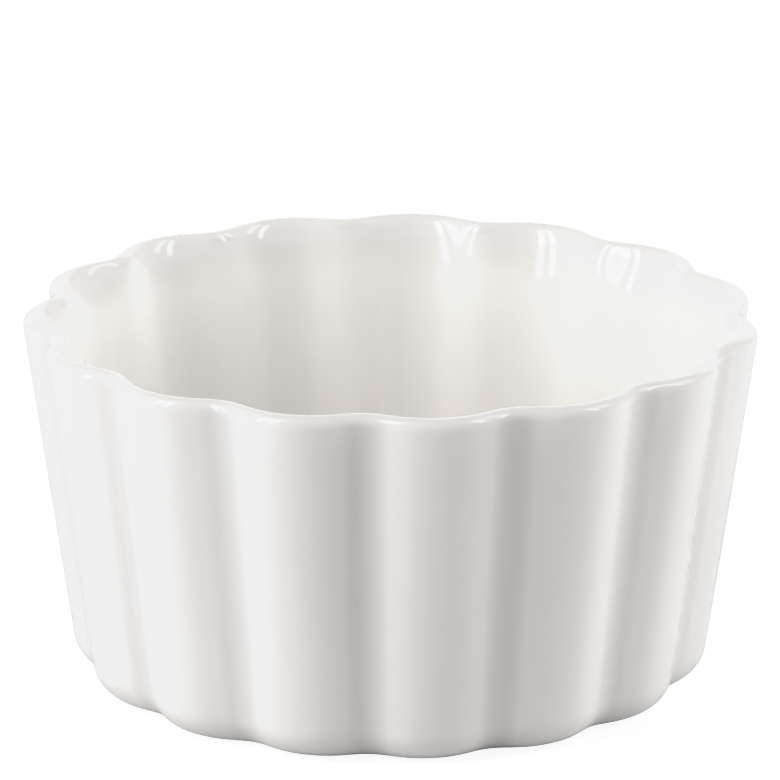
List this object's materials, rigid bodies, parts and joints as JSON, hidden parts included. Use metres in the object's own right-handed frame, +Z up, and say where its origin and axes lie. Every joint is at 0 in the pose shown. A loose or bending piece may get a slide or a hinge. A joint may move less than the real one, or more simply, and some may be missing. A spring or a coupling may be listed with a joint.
{
  "type": "creme brulee dish",
  "caption": "Small round tapered oven dish in white glazed ceramic, with broad upright flutes inside and out, a rounded lip and a flat foot ring.",
  "frame": {"origin": "centre of the plane that the foot stands on, on the dish's axis", "axes": "+Z up along the dish's axis and out of its mouth; -Y through a flute crest, the front; +X to the right seen from the front"},
  "size_m": [0.0892, 0.0888, 0.045],
  "materials": {
    "white_glaze": "clear gloss glaze over white ceramic, a touch warm, smooth to the hand, bare and slightly rough on the foot ring"
  },
  "bodies": {
    "root": {"dish": "white_glaze"}
  },
  "joints": []
}
